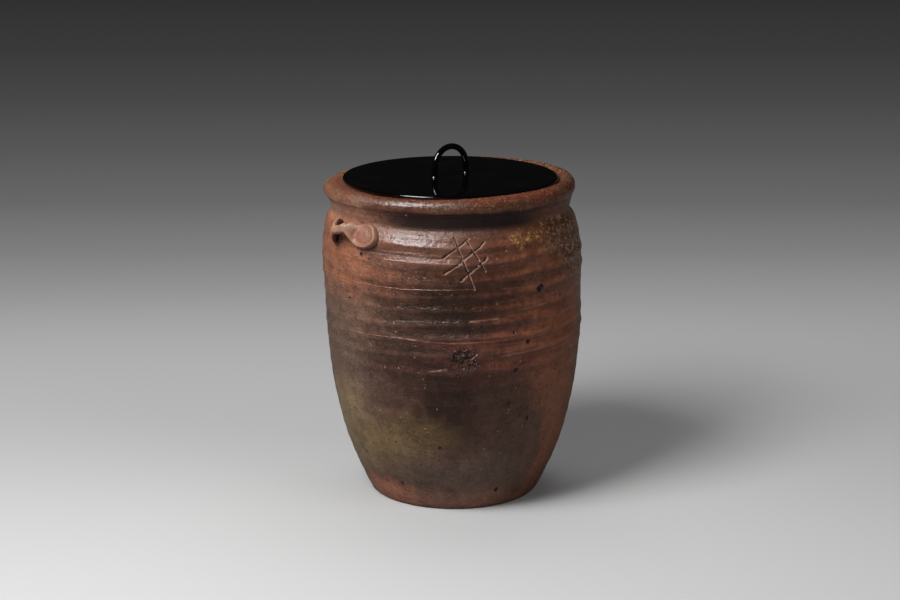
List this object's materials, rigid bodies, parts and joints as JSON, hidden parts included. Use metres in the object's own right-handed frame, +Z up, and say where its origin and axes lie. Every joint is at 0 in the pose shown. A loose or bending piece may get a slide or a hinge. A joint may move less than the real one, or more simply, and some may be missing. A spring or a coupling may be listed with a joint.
{
  "type": "stoneware water jar",
  "caption": "Thrown stoneware water jar with a rolled lip, strap ears and a black lacquered lid lifted by a loop handle.",
  "frame": {"origin": "on the table under the middle of the jar's outline, at the underside of the foot", "axes": "+Z up along the jar's height; -Y is the front, the side that the picture shows; +X is to the viewer's right"},
  "size_m": [0.1669, 0.167, 0.2243],
  "materials": {
    "stoneware": "unglazed, flame-marked red brown with a soft natural-ash sheen",
    "black_lacquer": "turned wood under polished black lacquer"
  },
  "bodies": {
    "jar": {"jar_body": "stoneware", "ear_front": "stoneware", "ear_back": "stoneware"},
    "lid": {"lid_board": "black_lacquer", "lid_loop": "black_lacquer"}
  },
  "joints": [
    {"name": "lid_lift", "type": "slide", "parent": "jar", "child": "lid", "axis": [0, 0, 1], "range_m": [0, 0.08]}
  ]
}
